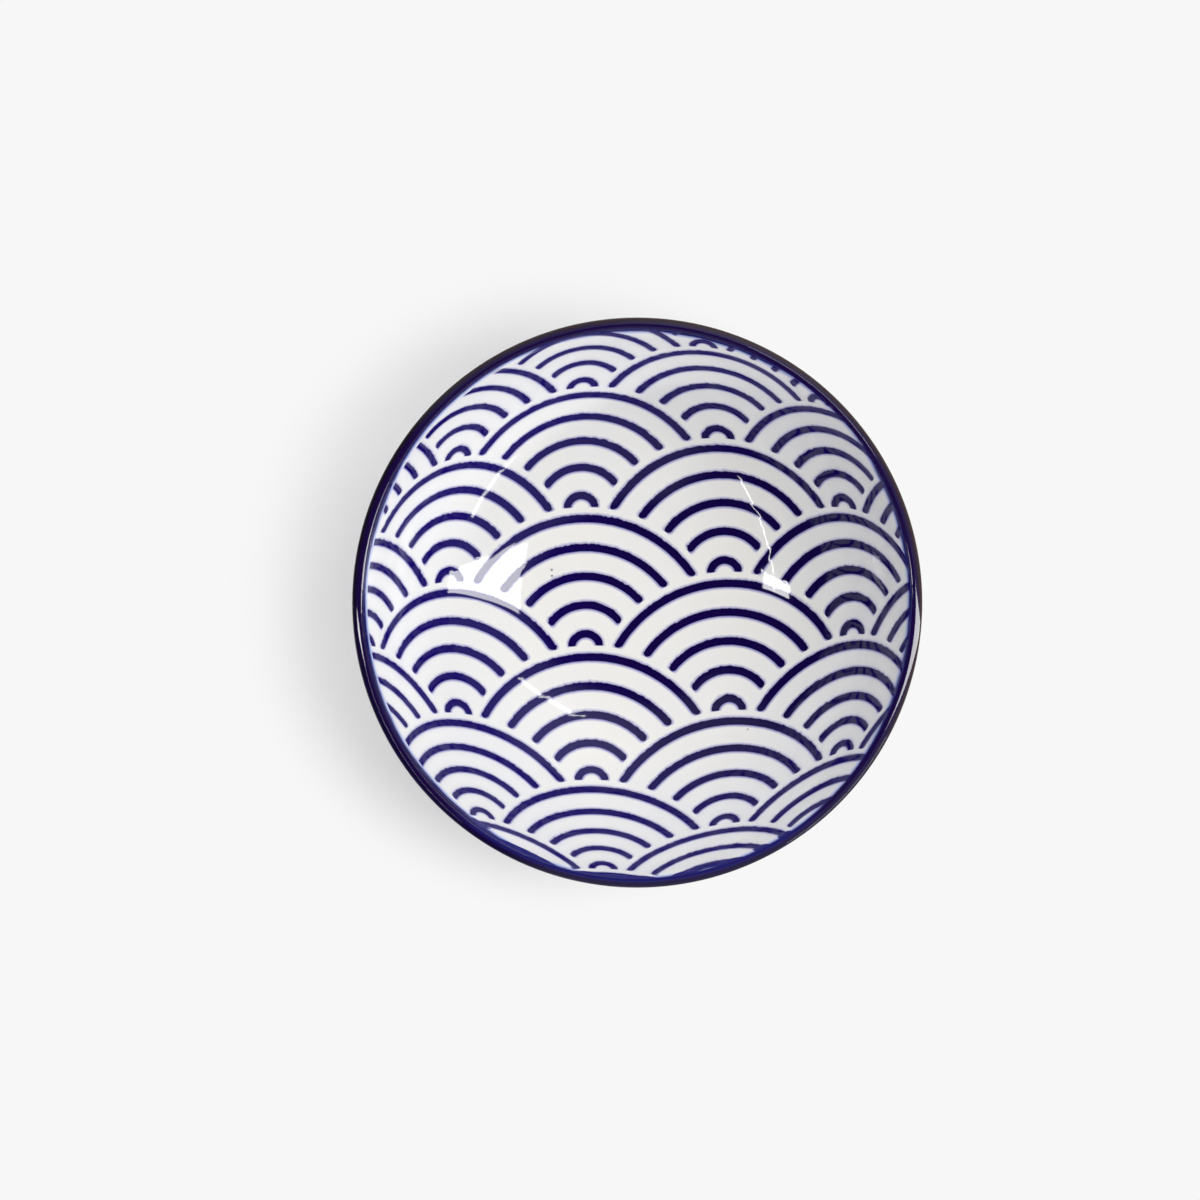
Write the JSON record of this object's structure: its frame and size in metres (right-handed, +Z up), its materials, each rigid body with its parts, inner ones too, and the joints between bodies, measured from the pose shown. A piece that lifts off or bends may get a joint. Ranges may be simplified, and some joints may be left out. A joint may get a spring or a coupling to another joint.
{
  "type": "bowl",
  "caption": "Round footed porcelain bowl, open at the top, for serving food: dished floor curving up into a leaning wall, glazed inside and out, with a cobalt band inside a brown lip.",
  "frame": {"origin": "centre of the circle on which the foot stands, on the table", "axes": "+Z up along the axis of the bowl, towards the open mouth; +Y is the top of the picture and +X its right"},
  "size_m": [0.15, 0.15, 0.058],
  "materials": {
    "bare_porcelain": "unglazed, fine and matt",
    "inner_glaze": "clear gloss glaze over a cobalt-blue wave pattern on white",
    "cobalt_band": "cobalt blue under clear gloss glaze",
    "iron_rim": "dark brown iron, gloss",
    "outer_glaze": "clear gloss glaze over a cobalt-blue wave pattern on white",
    "foot_well_glaze": "clear gloss glaze on white"
  },
  "bodies": {
    "root": {"porcelain_body": "bare_porcelain", "foot_ring": "bare_porcelain", "inner_glaze": "inner_glaze", "cobalt_band": "cobalt_band", "iron_rim": "iron_rim", "outer_glaze": "outer_glaze", "foot_well_glaze": "foot_well_glaze"}
  },
  "joints": []
}
